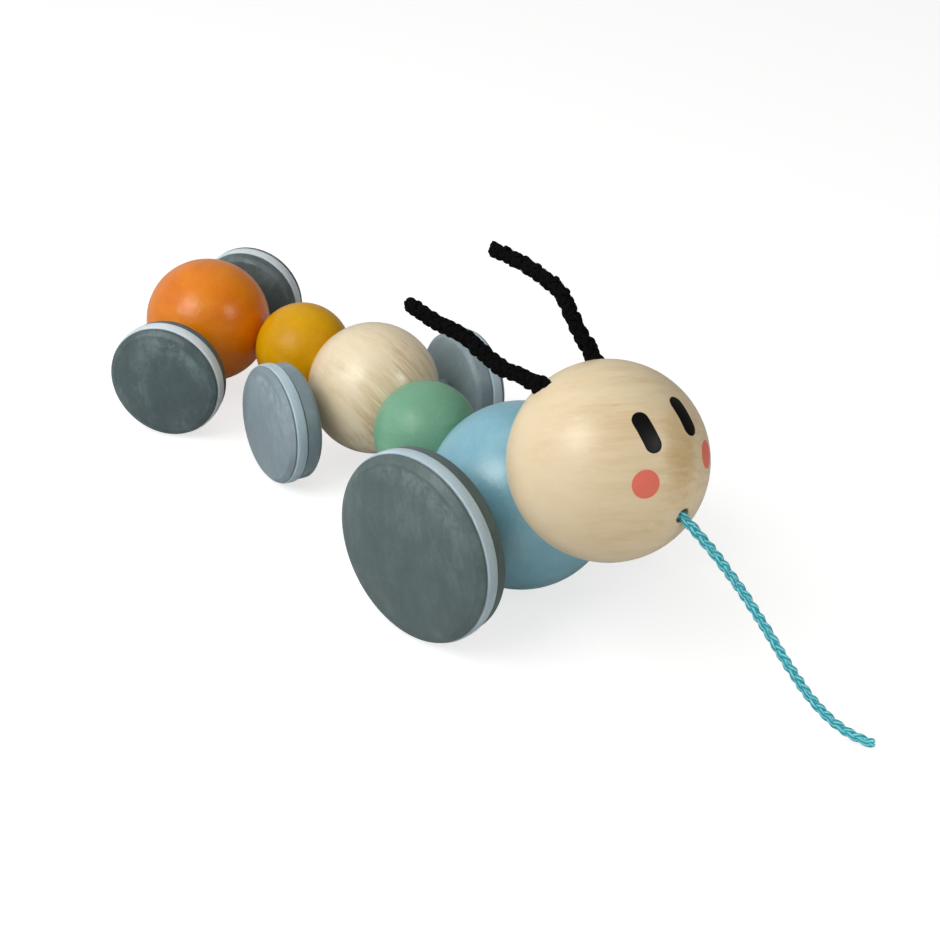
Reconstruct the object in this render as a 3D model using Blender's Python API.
"""Wooden pull-along crawler: six balls strung on one elastic cord, three of
them carrying a turning wooden axle with two rubber-tyred wheels, two braided
antennae and a pull cord fixed in the head.

Lengths are in millimetres and angles in degrees.  +X is the rolling direction
of the front wheels, +Y is the toy's left, +Z is up, and the origin is on the
floor under the middle of the whole toy.
"""
import math
from bisect import bisect_left
from collections import namedtuple

import bmesh
import bpy
from mathutils import Matrix, Vector

MM = 0.001
UP = Vector((0, 0, 1))

# ------------------------------------------------------------ driving sizes
GAP = 0.45                      # between two neighbouring balls on the cord
FIT = 0.30                      # between two glued or nested pieces

BEAD_R = 18.8
BALL_R = {"head": 30.45, "front": 31.75, "front_bead": BEAD_R,
          "middle": 24.9, "rear_bead": BEAD_R, "rear": 24.7}
CHAIN = ("front", "front_bead", "middle", "rear_bead", "rear")

# heading to each ball from the one in front of it, and the beads' heights
NECK_HEADING, NECK_RISE = -22.2, 39.25
BACK_HEADING = {"front_bead": 172.6, "middle": 160.6, "rear_bead": 174.9, "rear": 198.6}
BEAD_Z = {"front_bead": 34.2, "rear_bead": 28.9}

SMALL_WHEEL_R = 21.95
# wheel_r: wood only                track: middle of the axle to a wheel's mid-plane
# slide: wheelset pushed left       drop, shift: axle below and ahead of its ball's centre
# yaw: heading of the rolling direction
# tyre: its two edges along the axle, outward from the wheel's mid-plane
Axle = namedtuple("Axle", "wheel_r track slide drop shift yaw tyre paint")
AXLES = {
    "front": Axle(wheel_r=31.7, track=47.3, slide=0.9, drop=2.2, shift=-1.9,
                  yaw=0.0, tyre=(-1.2, 3.2), paint="slate_paint"),
    "middle": Axle(wheel_r=SMALL_WHEEL_R, track=40.1, slide=2.6, drop=8.4, shift=-2.6,
                   yaw=-15.2, tyre=(-0.1, 4.0), paint="slate_blue_paint"),
    "rear": Axle(wheel_r=SMALL_WHEEL_R, track=41.6, slide=1.0, drop=7.8, shift=0.8,
                 yaw=27.7, tyre=(-1.7, 3.1), paint="slate_paint"),
}
AXLE_R = 3.0
AXLE_CHAMFER = 0.5
AXLE_BORE_R = 3.3
BORE_OVERRUN = 4.0              # axle bore's cutter runs this far past the ball
COLLAR_R = 4.4
COLLAR_CLEAR = 0.4              # between a collar and its ball

TYRE_PROUD = 0.6                # tyre stands this far out of the wood
TYRE_DEPTH = 1.9                # tyre sinks this far into its groove
TYRE_CROWN = 0.3                # tyre's middle stands this far above its edges
WHEEL_HALF = 8.0                # half the thickness of a wheel at its centre
SHOULDER_HALF = 4.9             # rim to mid-plane, outer side
SHOULDER_IN = 5.6               # rim to mid-plane, inner side
BEVEL_DEEP, BEVEL_WIDE = 1.8, 1.3   # rim's bevel, along the radius and the axle
FLAT_PAD = 0.5                  # flat middle of a wheel's face, as a share of its radius
HUB_FLOOR = 3.5                 # hub bore's floor, outward from the mid-plane

ELASTIC_R = 1.5
ELASTIC_BORE_R = 2.3
BORE_START = 2.5                # a cord bore starts this deep in the ball
MOUTH_R = 3.3                   # countersink where the cord leaves a ball
MOUTH_DEEP = 4.5
LINK_HALF = 2.3                 # a link reaches this far into each ball
CORD_START = 3.0                # the cord inside a ball starts at this depth
CORD_BEND_SHARE = 0.30          # share of each leg that the cord's bend takes up
FRONT_CORD_BEND = (-2, 0, 8.0)  # cord's bend, from the front ball's centre
NECK_DEEP = 22.0                # cord bore in the head
CUT_PROUD = 2.0                 # countersink cutters stand this far out of a ball

TAIL_DEEP, TAIL_R = 8.5, 4.6    # counterbore at the back of the rear ball
TAIL_FLARE = 1.4                # cutter's widening towards its outer end
TAIL_FLARE_DEEP = 1.0
TAIL_OVERLAP = 1.0              # the cord bore stops this far short of its floor
KNOT_R = 3.6

FACE_LEFT = (0.0826, 0.9952, 0.0524)   # the head's own left
FACE_FORWARD = (0.9318, -0.0958, 0.3500)   # from the head's centre to between the cheeks

MOUTH_PITCH = -28.3
MOUTH_HOLE_R = 2.4
MOUTH_HOLE_DEEP = 16.0
MOUTH_HOLE_EASE = 1.2           # 45 degree flare, this far in and out of the surface

LEAD_IN = 1.0                   # a loose cord's curve starts this far inside its hole
PULL_R = 1.6
PULL_SIDE_AT = 2.05             # first two pivots, from the mouth along the cord
PULL_LIFT_AT = 6.0
PULL_BEND_SHARE = 0.48          # where the cord's last pivot is, along its length
PULL_SIDE_NIP = 0.80            # half the gap in the cord at a pivot
PULL_NIP = 0.95
PULL_ROOT_BEND = 2.0            # depth in the hole where the root starts to bend
PULL_ROOT_JOIN = 0.6            # where the root takes up the curve, along it
PULL_END = (133.3, 16.5, 1.75)  # from the floor under the front ball's centre
PULL_END_REACH = 0.6            # share of its radius the cord reaches past its end point
# curve's two handles, as shares of the run forward and the drop to the floor
PULL_HANDLES = ((0.505, 0.446), (0.629, 0.936))

ANTENNA_PITCH = 111.0           # from cheek level, over the top
ANTENNA_LAT = 22.0              # to either side
ANTENNA_R = 2.35
ANTENNA_HOLE_R = 2.75
ANTENNA_HOLE_DEEP = 9.0
ANTENNA_CUT_PROUD = 6.0
ANTENNA_PIVOT = 5.5             # sway centre, from the hole's mouth
ANTENNA_NIP = 0.85              # half the gap in the cord at the pivot
ANTENNA_ROOT_JOIN = 0.5
# side (+1 left), then the curve's two handles and tip, from the hole's mouth
# in the toy's own directions
ANTENNAE = {
    "antenna_right": (-1, (-19.0, -0.3, -1.0), (-33.0, -2.0, 5.0), (-52.0, -3.2, 8.0)),
    "antenna_left": (1, (-19.3, 3.9, 18.8), (-26.4, 12.2, 16.5), (-54.9, 12.8, 16.3)),
}

# name: base colour, roughness
FINISHES = {
    "lacquered_wood": ((0.72, 0.50, 0.28, 1), 0.30),
    "blue_paint": ((0.36, 0.55, 0.63, 1), 0.32),
    "green_paint": ((0.42, 0.50, 0.30, 1), 0.36),
    "yellow_paint": ((0.72, 0.47, 0.10, 1), 0.36),
    "orange_paint": ((0.80, 0.20, 0.07, 1), 0.36),
    "slate_paint": ((0.10, 0.13, 0.14, 1), 0.42),
    "slate_blue_paint": ((0.20, 0.29, 0.33, 1), 0.42),
    "tyre_rubber": ((0.50, 0.62, 0.68, 1), 0.60),
    "black_cord": ((0.02, 0.02, 0.02, 1), 0.80),
    "teal_cord": ((0.03, 0.20, 0.22, 1), 0.75),
    "elastic_cord": ((0.85, 0.84, 0.80, 1), 0.70),
    "plain_wood": ((0.66, 0.48, 0.30, 1), 0.55),
}


# ------------------------------------------------------- objects and joints
Joint = namedtuple("Joint", "empty world")


def material(name):
    """A Principled material of its own for each object."""
    colour, roughness = FINISHES[name]
    mat = bpy.data.materials.new(name)
    mat.use_nodes = True
    inputs = mat.node_tree.nodes["Principled BSDF"].inputs
    inputs["Base Color"].default_value = colour
    inputs["Roughness"].default_value = roughness
    inputs["Metallic"].default_value = 0.0
    return mat


def place(ob, world, parent):
    """Link an object under a joint, at the place `world`."""
    bpy.context.collection.objects.link(ob)
    if parent is not None:
        ob.parent = parent.empty
        ob.matrix_parent_inverse = parent.world.inverted()
    ob.matrix_basis = world


def joint(name, world, parent=None):
    ob = bpy.data.objects.new(name, None)
    ob.empty_display_size = 0.008
    place(ob, world, parent)
    return Joint(ob, world)


def make(name, bm, world, parent, finish, sharp=35.0):
    """Turn a bmesh into an object, smooth up to `sharp` degrees."""
    bmesh.ops.recalc_face_normals(bm, faces=bm.faces)
    mesh = bpy.data.meshes.new(name)
    bm.to_mesh(mesh)
    bm.free()
    mesh.shade_smooth()
    mesh.set_sharp_from_angle(angle=math.radians(sharp))
    ob = bpy.data.objects.new(name, mesh)
    place(ob, world, parent)
    if finish:
        mesh.materials.append(material(finish))
    return ob


def cut(target, name, bm, world, parent):
    """Take a shape out of `target`."""
    tool = make(name, bm, world, parent, None)
    tool.hide_render = True
    tool.display_type = 'WIRE'
    mod = target.modifiers.new(name, 'BOOLEAN')
    mod.operation = 'DIFFERENCE'
    mod.solver = 'EXACT'
    mod.object = tool


# ------------------------------------------------------------------- shapes
def circle(bm, centre, side, other, radius, count):
    """A ring of vertices, in metres, turning from `side` towards `other`."""
    ring = []
    for i in range(count):
        angle = 2 * math.pi * i / count
        ring.append(bm.verts.new(
            centre + (side * math.cos(angle) + other * math.sin(angle)) * radius))
    return ring


def lathe(profile, facets):
    """Turn (radius, height) points about local Z into a closed solid.

    Points with radius 0 become poles; otherwise the profile is a closed loop.
    """
    bm = bmesh.new()
    rings = []
    for radius, z in profile:
        if radius == 0.0:
            rings.append([bm.verts.new((0, 0, z * MM))])
        else:
            rings.append(circle(bm, Vector((0, 0, z * MM)), Vector((1, 0, 0)),
                                Vector((0, 1, 0)), radius * MM, facets))
    pairs = list(zip(rings, rings[1:]))
    poled = profile[0][0] == 0.0 and profile[-1][0] == 0.0
    if not poled:
        pairs.append((rings[-1], rings[0]))
    for a, b in pairs:
        for i in range(facets):
            j = (i + 1) % facets
            if len(a) == 1:
                bm.faces.new((a[0], b[j], b[i]))
            elif len(b) == 1:
                bm.faces.new((a[i], a[j], b[0]))
            else:
                bm.faces.new((a[i], a[j], b[j], b[i]))
    return bm


def rod(radius, low, high, facets):
    return lathe([(0.0, low), (radius, low), (radius, high), (0.0, high)], facets)


def ball(radius):
    bm = bmesh.new()
    bmesh.ops.create_uvsphere(bm, u_segments=24, v_segments=12, radius=radius * MM)
    return bm


def sweep(points, radius, facets=8):
    """A round cord of constant radius along `points`, with flat ends."""
    points = [Vector(p) * MM for p in points]
    last = len(points) - 1
    tangents = [(points[min(i + 1, last)] - points[max(i - 1, 0)]).normalized()
                for i in range(last + 1)]
    side = tangents[0].orthogonal().normalized()
    bm = bmesh.new()
    rings = []
    for point, tangent in zip(points, tangents):
        side = (side - tangent * side.dot(tangent)).normalized()
        rings.append(circle(bm, point, side, tangent.cross(side), radius * MM, facets))
    for a, b in zip(rings, rings[1:]):
        for i in range(facets):
            j = (i + 1) % facets
            bm.faces.new((a[i], a[j], b[j], b[i]))
    bm.faces.new(list(reversed(rings[0])))
    bm.faces.new(rings[-1])
    return bm


def cord(name, points, radius, parent, finish):
    make(name, sweep(points, radius), Matrix.Identity(4), parent, finish)


# -------------------------------------------------------------------- paths
def bezier(start, handle_1, handle_2, end, steps):
    """steps + 1 points along a cubic Bezier."""
    points = []
    for i in range(steps + 1):
        t = i / steps
        u = 1 - t
        points.append(start * u ** 3 + handle_1 * 3 * u * u * t
                      + handle_2 * 3 * u * t * t + end * t ** 3)
    return points


def eased(start, corner, end, steps=5):
    """Path from start to end bending softly near the corner."""
    ease_in = corner + (start - corner) * CORD_BEND_SHARE
    ease_out = corner + (end - corner) * CORD_BEND_SHARE
    bend = [ease_in * (1 - t) ** 2 + corner * 2 * t * (1 - t) + ease_out * t * t
            for t in (i / steps for i in range(steps + 1))]
    return [start] + bend + [end]


def arc_lengths(points):
    lengths = [0.0]
    for a, b in zip(points, points[1:]):
        lengths.append(lengths[-1] + (b - a).length)
    return lengths


def point_at(points, distance):
    """The point at a length along a polyline."""
    lengths = arc_lengths(points)
    after = bisect_left(lengths, distance, 1)
    before = after - 1
    share = (distance - lengths[before]) / (lengths[after] - lengths[before])
    return points[before].lerp(points[after], share)


def piece_of(points, low, high):
    """The stretch of a polyline between two lengths along it."""
    margin = 0.6                # drops corners that crowd the stretch's ends
    inner = [p for p, s in zip(points, arc_lengths(points)) if low + margin < s < high - margin]
    return [point_at(points, low)] + inner + [point_at(points, high)]


# ------------------------------------------------------------------- places
def along(direction, point):
    """Matrix that stands local Z along `direction` at `point`."""
    z = Vector(direction).normalized()
    reference = UP if abs(z.z) < 0.9 else Vector((1, 0, 0))
    x = reference.cross(z).normalized()
    y = z.cross(x)
    world = Matrix((x, y, z)).transposed().to_4x4()
    world.translation = Vector(point) * MM
    return world


def across(direction, point):
    """Matrix that stands local Z on the level axis across `direction`."""
    return along(UP.cross(direction), point)


def at_point(point, yaw=0.0):
    return Matrix.Translation(Vector(point) * MM) @ Matrix.Rotation(math.radians(yaw), 4, 'Z')


def polar(heading, rise=0.0):
    a, e = math.radians(heading), math.radians(rise)
    return Vector((math.cos(e) * math.cos(a), math.cos(e) * math.sin(a), math.sin(e)))


forward = {tag: polar(axle.yaw) for tag, axle in AXLES.items()}
left = {tag: UP.cross(forward[tag]) for tag in AXLES}


def height(tag):
    """Height of a ball's centre; those with an axle ride on their tyres."""
    if tag in BEAD_Z:
        return BEAD_Z[tag]
    return AXLES[tag].wheel_r + TYRE_PROUD + AXLES[tag].drop


def ball_centres():
    """The balls' centres, from the floor under the front ball."""
    centres = {"front": Vector((0, 0, height("front")))}
    centres["head"] = centres["front"] + polar(NECK_HEADING, NECK_RISE) * (
        BALL_R["front"] + BALL_R["head"] + GAP)
    for before, tag in zip(CHAIN, CHAIN[1:]):
        start = centres[before]
        distance = BALL_R[before] + BALL_R[tag] + GAP
        z = height(tag)
        run = math.sqrt(distance ** 2 - (z - start.z) ** 2)
        level = polar(BACK_HEADING[tag])
        centres[tag] = Vector((start.x + level.x * run, start.y + level.y * run, z))
    return centres


def left_wheel_reach(tag, sign, axis):
    """Furthest reach of a left wheel with its tyre along world X (0) or Y (1)."""
    axle, side = AXLES[tag], left[tag]
    radius = axle.wheel_r
    level = abs(side[axis])
    around = math.sqrt(max(0.0, 1 - side[axis] ** 2))
    circles = [             # (outward from the mid-plane, radius)
        (WHEEL_HALF, FLAT_PAD * radius),
        (SHOULDER_HALF + BEVEL_WIDE, radius - BEVEL_DEEP),
        (SHOULDER_HALF, radius),
        (sum(axle.tyre) / 2, radius + TYRE_PROUD),
        (axle.tyre[1], radius + TYRE_PROUD - TYRE_CROWN),
    ]
    middle = (axle_centre[tag] + side * axle.track)[axis]
    return middle + sign * max(h * level + r * around for h, r in circles)


centre = ball_centres()
axle_centre = {
    tag: centre[tag] + forward[tag] * axle.shift + left[tag] * axle.slide - UP * axle.drop
    for tag, axle in AXLES.items()}

# move the origin to the middle of the toy's bounding box, on the floor
x_low = left_wheel_reach("rear", -1, 0)
x_high = PULL_END[0] + PULL_R * PULL_END_REACH
y_low = axle_centre["front"].y - AXLES["front"].track - WHEEL_HALF
y_high = left_wheel_reach("middle", +1, 1)
origin = Vector(((x_low + x_high) / 2, (y_low + y_high) / 2, 0))
centre = {tag: point - origin for tag, point in centre.items()}
axle_centre = {tag: point - origin for tag, point in axle_centre.items()}


def spot(tag, radius, other):
    """Point at `radius` from a ball's centre towards another's, and the direction."""
    direction = (centre[other] - centre[tag]).normalized()
    return centre[tag] + direction * radius, direction


def contact(tag, other):
    """Point midway in the gap between two balls, and the direction."""
    return spot(tag, BALL_R[tag] + GAP / 2, other)


def mouth(tag, other):
    """A cord hole's mouth on a ball, and its outward direction."""
    return spot(tag, BALL_R[tag], other)


# ------------------------------------------------------------------- joints
def build_joints():
    """The tree of empties: each ball's holder, the axles' spins and the links.

    A link is (name, point, direction, holder).
    """
    root = joint("front_body_frame", at_point(centre["front"]))
    point, direction = contact("front", "head")
    turn = joint("neck_turn", along(direction, point), root)
    holders = {"front": root, "head": joint("neck_nod", across(direction, point), turn)}
    links = [("elastic_link_neck", point, direction, turn)]
    for number, (before, after) in enumerate(zip(CHAIN, CHAIN[1:]), 1):
        point, direction = contact(before, after)
        yaw = joint(f"bend_{number}_yaw", at_point(point), holders[before])
        holders[after] = joint(f"bend_{number}_pitch", across(direction, point), yaw)
        links.append((f"elastic_link_{number}", point, direction, yaw))
    spins = {tag: joint(f"{tag}_axle_spin", along(left[tag], axle_centre[tag]), holders[tag])
             for tag in AXLES}
    return holders, spins, links


# -------------------------------------------------------------------- balls
def countersink(target, name, point, outward, parent):
    """Eased hole mouth: a cone sunk along the contact's line."""
    slope = (MOUTH_R - ELASTIC_BORE_R) / MOUTH_DEEP
    profile = [(0.0, -MOUTH_DEEP), (ELASTIC_BORE_R, -MOUTH_DEEP), (MOUTH_R, 0.0),
               (MOUTH_R + CUT_PROUD * slope, CUT_PROUD), (0.0, CUT_PROUD)]
    cut(target, name, lathe(profile, 12), along(outward, point), parent)


def cord_bore(target, name, path, parent):
    cut(target, name, sweep(path, ELASTIC_BORE_R, 10), Matrix.Identity(4), parent)


def axle_bore(target, tag):
    reach = BALL_R[tag] + BORE_OVERRUN
    cut(target, f"{tag}_axle_bore", rod(AXLE_BORE_R, -reach, reach, 20),
        spins[tag].world, holders[tag])


def countersunk_ball(name, tag, paint, yaw, neighbours):
    """A ball with a hole mouth towards each neighbour, and those mouths."""
    parent = holders[tag]
    ob = make(name, ball(BALL_R[tag]), at_point(centre[tag], yaw), parent, paint)
    mouths = [mouth(tag, other) for other in neighbours]
    for side, (point, outward) in zip(("near", "far"), mouths):
        countersink(ob, f"{name}_{side}_mouth", point, outward, parent)
    return ob, mouths


def build_strung_ball(name, cord_name, tag, paint, yaw, neighbours, bend_offset=(0, 0, 0)):
    """A ball the cord passes through, and its length of elastic."""
    parent = holders[tag]
    ob, ((near, near_out), (far, far_out)) = countersunk_ball(name, tag, paint, yaw, neighbours)
    bend = centre[tag] + Vector(bend_offset)
    cord_bore(ob, name + "_bore",
              [near - near_out * BORE_START, bend, far - far_out * BORE_START], parent)
    cord(cord_name, eased(near - near_out * CORD_START, bend, far - far_out * CORD_START),
         ELASTIC_R, parent, "elastic_cord")
    if tag in AXLES:
        axle_bore(ob, tag)


def knot():
    """A tight knot: a ball squeezed into three twisted lobes."""
    waist, lobe, twist, flatten = 0.90, 0.09, 2.2, 0.92
    bm = bmesh.new()
    bmesh.ops.create_uvsphere(bm, u_segments=12, v_segments=8, radius=1.0)
    for vert in bm.verts:
        x, y, z = vert.co
        swell = waist + lobe * math.cos(3 * math.atan2(y, x) + twist * z)
        vert.co = Vector((x * swell, y * swell, z * flatten)) * KNOT_R * MM
    return bm


def build_rear_ball():
    """The last ball: the cord ends in a counterbore at its back, held by a knot."""
    parent, middle = holders["rear"], centre["rear"]
    ob, [(near, near_out)] = countersunk_ball("rear_body_ball", "rear", "orange_paint",
                                              AXLES["rear"].yaw, ["rear_bead"])
    axle_bore(ob, "rear")
    back = -forward["rear"]
    tail = middle + back * BALL_R["rear"]
    cord_bore(ob, "rear_body_ball_bore",
              [near - near_out * BORE_START, middle, tail - back * (TAIL_DEEP - TAIL_OVERLAP)],
              parent)
    profile = [(0.0, -TAIL_DEEP), (TAIL_R, -TAIL_DEEP), (TAIL_R, -TAIL_FLARE_DEEP),
               (TAIL_R + TAIL_FLARE, CUT_PROUD), (0.0, CUT_PROUD)]
    cut(ob, "tail_counterbore", lathe(profile, 16), along(back, tail), parent)
    knot_centre = tail - back * (TAIL_DEEP - KNOT_R - FIT)
    cord("elastic_in_rear_ball",
         eased(near - near_out * CORD_START, middle, knot_centre - back * (KNOT_R + FIT)),
         ELASTIC_R, parent, "elastic_cord")
    make("tail_knot", knot(), along(back, knot_centre), parent, "elastic_cord", sharp=60)


# --------------------------------------------------------------------- head
face_left = Vector(FACE_LEFT).normalized()
face_forward = Vector(FACE_FORWARD)
face_forward = (face_forward - face_left * face_forward.dot(face_left)).normalized()
face_up = face_forward.cross(face_left)


def face_direction(pitch, lat=0.0):
    """From the head's centre: pitch up from cheek level, lat to its left."""
    p, s = math.radians(pitch), math.radians(lat)
    upright = face_forward * math.cos(p) + face_up * math.sin(p)
    return upright * math.cos(s) + face_left * math.sin(s)


def build_head():
    parent = holders["head"]
    world = Matrix((face_forward, face_left, face_up)).transposed().to_4x4()
    world.translation = centre["head"] * MM
    ob = make("head_ball", ball(BALL_R["head"]), world, parent, "lacquered_wood")
    neck, outward = mouth("head", "front")
    countersink(ob, "head_neck_mouth", neck, outward, parent)
    cord_bore(ob, "head_neck_bore",
              [neck - outward * BORE_START, neck - outward * NECK_DEEP], parent)
    cord("elastic_in_head", [neck - outward * CORD_START, neck - outward * (NECK_DEEP - FIT)],
         ELASTIC_R, parent, "elastic_cord")
    return ob


def build_pull_cord(head_ob):
    """Mouth hole and the pull cord, in four lengths with a gap at each pivot."""
    nod = holders["head"]
    outward = face_direction(MOUTH_PITCH)
    lip = centre["head"] + outward * BALL_R["head"]
    ease = MOUTH_HOLE_EASE
    profile = [(0.0, -MOUTH_HOLE_DEEP), (MOUTH_HOLE_R, -MOUTH_HOLE_DEEP),
               (MOUTH_HOLE_R, -ease), (MOUTH_HOLE_R + 2 * ease, ease), (0.0, ease)]
    cut(head_ob, "mouth_hole", lathe(profile, 16), along(outward, lip), nod)

    # leaves the mouth sloping down, steepens, then settles onto the floor
    end = Vector(PULL_END) - origin
    level = Vector((end.x - lip.x, end.y - lip.y, 0))
    run = level.length
    level.normalize()
    drop = lip.z - end.z
    handles = [lip + level * run * ahead - UP * (drop * down) for ahead, down in PULL_HANDLES]
    path = bezier(lip - outward * LEAD_IN, *handles, end, 18)
    length = arc_lengths(path)[-1]

    side_at = LEAD_IN + PULL_SIDE_AT
    lift_at = LEAD_IN + PULL_LIFT_AT
    bend_at = length * PULL_BEND_SHARE
    side = joint("pull_cord_side", at_point(point_at(path, side_at)), nod)
    lift = joint("pull_cord_lift", across(level, point_at(path, lift_at)), side)
    bend = joint("pull_cord_bend", across(level, point_at(path, bend_at)), lift)

    buried = [lip - outward * (MOUTH_HOLE_DEEP - FIT), lip - outward * PULL_ROOT_BEND]
    for name, lead, low, high, parent in (
            ("root", buried, PULL_ROOT_JOIN, side_at - PULL_SIDE_NIP, nod),
            ("link", [], side_at + PULL_SIDE_NIP, lift_at - PULL_NIP, side),
            ("upper", [], lift_at + PULL_NIP, bend_at - PULL_NIP, lift),
            ("lower", [], bend_at + PULL_NIP, length, bend)):
        cord(f"pull_cord_{name}", lead + piece_of(path, low, high), PULL_R, parent, "teal_cord")


def build_antenna(head_ob, name, sign, handle_1, handle_2, tip):
    """An antenna's hole, its fixed root and the length that sways."""
    nod = holders["head"]
    base = centre["head"] + face_direction(ANTENNA_PITCH, ANTENNA_LAT * sign) * BALL_R["head"]
    outward = Vector(handle_1).normalized()
    path = bezier(base - outward * LEAD_IN, base + Vector(handle_1), base + Vector(handle_2),
                  base + Vector(tip), 11)
    cut(head_ob, name + "_hole",
        rod(ANTENNA_HOLE_R, -ANTENNA_HOLE_DEEP, ANTENNA_CUT_PROUD, 16),
        along(outward, base), nod)
    pivot_at = LEAD_IN + ANTENNA_PIVOT
    sway = joint(name + "_sway", across(outward, point_at(path, pivot_at)), nod)
    cord(name + "_root", [base - outward * (ANTENNA_HOLE_DEEP - FIT)]
         + piece_of(path, ANTENNA_ROOT_JOIN, pivot_at - ANTENNA_NIP),
         ANTENNA_R, nod, "black_cord")
    cord(name, piece_of(path, pivot_at + ANTENNA_NIP, arc_lengths(path)[-1]),
         ANTENNA_R, sway, "black_cord")


# ---------------------------------------------------------------- wheelsets
WHEEL_FACETS = 24


def wheel(radius, tyre):
    """Turned wheel, local Z outward: domed both sides, grooved round the rim,
    with a blind hub bore open to the inner side."""
    groove_in, groove_out = tyre[0] - FIT, tyre[1] + FIT
    groove_floor = radius - TYRE_DEPTH - FIT
    flat = radius * FLAT_PAD
    hub = AXLE_R + FIT
    return lathe([
        (0.0, WHEEL_HALF), (flat, WHEEL_HALF),
        (radius - BEVEL_DEEP, SHOULDER_HALF + BEVEL_WIDE), (radius, SHOULDER_HALF),
        (radius, groove_out), (groove_floor, groove_out),
        (groove_floor, groove_in), (radius, groove_in),
        (radius, -SHOULDER_IN), (radius - BEVEL_DEEP, -SHOULDER_IN - BEVEL_WIDE),
        (flat, -WHEEL_HALF), (hub, -WHEEL_HALF),
        (hub, HUB_FLOOR), (0.0, HUB_FLOOR),
    ], WHEEL_FACETS)


def tyre_ring(radius, tyre):
    crown, inside = radius + TYRE_PROUD, radius - TYRE_DEPTH
    edge = crown - TYRE_CROWN
    return lathe([(inside, tyre[0]), (edge, tyre[0]), (crown, sum(tyre) / 2),
                  (edge, tyre[1]), (inside, tyre[1])], WHEEL_FACETS)


def axle_rod(half):
    slim = AXLE_R - AXLE_CHAMFER
    return lathe([(0.0, -half), (slim, -half), (AXLE_R, -half + AXLE_CHAMFER),
                  (AXLE_R, half - AXLE_CHAMFER), (slim, half), (0.0, half)], 16)


def collar(half):
    bore = AXLE_R + FIT
    return lathe([(bore, -half), (COLLAR_R, -half), (COLLAR_R, half), (bore, half)], 16)


def build_wheelset(tag):
    axle, spin = AXLES[tag], spins[tag]
    make(f"{tag}_axle", axle_rod(axle.track + HUB_FLOOR - FIT), spin.world, spin, "plain_wood")
    # the collars fill the axle between the ball's surface and the wheels
    below = max(axle.drop - COLLAR_R, 0.0)
    surface = math.sqrt(BALL_R[tag] ** 2 - below ** 2) + COLLAR_CLEAR
    end = axle.track - WHEEL_HALF - FIT
    for side, sign in (("left", 1), ("right", -1)):
        world = spin.world @ Matrix.Translation(UP * sign * axle.track * MM)
        if sign < 0:
            world = world @ Matrix.Rotation(math.pi, 4, 'X')
        make(f"{tag}_wheel_{side}", wheel(axle.wheel_r, axle.tyre), world, spin, axle.paint)
        make(f"{tag}_tyre_{side}", tyre_ring(axle.wheel_r, axle.tyre), world, spin,
             "tyre_rubber")
        start = surface - sign * axle.slide
        middle = Matrix.Translation(UP * sign * ((start + end) / 2) * MM)
        make(f"{tag}_collar_{side}", collar((end - start) / 2), spin.world @ middle, spin,
             axle.paint)


# ----------------------------------------------------------------- assembly
for old in list(bpy.data.objects):
    bpy.data.objects.remove(old, do_unlink=True)

holders, spins, links = build_joints()

build_strung_ball("front_body_ball", "elastic_in_front_ball", "front", "blue_paint",
                  AXLES["front"].yaw, ("head", "front_bead"), FRONT_CORD_BEND)
build_strung_ball("front_bead", "elastic_in_front_bead", "front_bead", "green_paint",
                  BACK_HEADING["front_bead"] - 180, ("front", "middle"))
build_strung_ball("middle_body_ball", "elastic_in_middle_ball", "middle", "lacquered_wood",
                  AXLES["middle"].yaw, ("front_bead", "rear_bead"))
build_strung_ball("rear_bead", "elastic_in_rear_bead", "rear_bead", "yellow_paint",
                  BACK_HEADING["rear"] - 180, ("middle", "rear"))
build_rear_ball()
head_ball = build_head()

# short links of elastic across the five contacts
for link_name, link_point, link_direction, link_holder in links:
    make(link_name, rod(ELASTIC_R, -LINK_HALF, LINK_HALF, 10),
         along(link_direction, link_point), link_holder, "elastic_cord")

build_pull_cord(head_ball)
for antenna_name, antenna_curve in ANTENNAE.items():
    build_antenna(head_ball, antenna_name, *antenna_curve)
for axle_tag in AXLES:
    build_wheelset(axle_tag)
